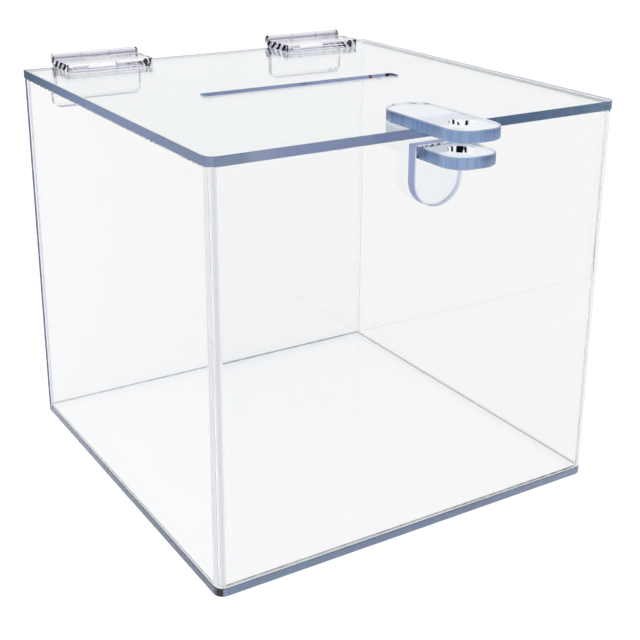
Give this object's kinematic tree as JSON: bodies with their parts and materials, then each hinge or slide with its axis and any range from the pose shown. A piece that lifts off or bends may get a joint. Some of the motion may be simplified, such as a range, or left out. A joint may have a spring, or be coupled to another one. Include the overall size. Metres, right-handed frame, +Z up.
{
  "type": "donation box",
  "caption": "Clear acrylic box for donations, with a hinged lid that has a long thin slot, and a padlock hasp on the front.",
  "frame": {"origin": "middle of the base plate's underside, on the surface that the box stands on", "axes": "+Z up; -Y towards the front wall, which has the hasp; +Y towards the hinges; +X to the right of someone facing the front"},
  "size_m": [0.201, 0.2385, 0.191],
  "materials": {
    "clear_sheet": "clear cast acrylic, polished",
    "hinge_acrylic": "clear moulded acrylic, glossy",
    "hasp_acrylic": "clear cast acrylic with polished edges"
  },
  "bodies": {
    "box": {"base_plate": "clear_sheet", "wall_wrap": "clear_sheet", "back_panel": "clear_sheet", "hinge_left_wall_leaf": "hinge_acrylic", "hinge_right_wall_leaf": "hinge_acrylic", "hinge_left_pin": "hinge_acrylic", "hinge_right_pin": "hinge_acrylic", "hasp_wall_plate": "hasp_acrylic", "hasp_wall_tab": "hasp_acrylic"},
    "lid": {"lid": "clear_sheet", "hinge_left_lid_leaf": "hinge_acrylic", "hinge_right_lid_leaf": "hinge_acrylic", "hasp_lid_tab": "hasp_acrylic"}
  },
  "joints": [
    {"name": "lid_hinge", "type": "hinge", "parent": "box", "child": "lid", "pos_m": [0, 0.1035, 0.1885], "axis": [-1, 0, 0], "range_deg": [0, 225]}
  ]
}
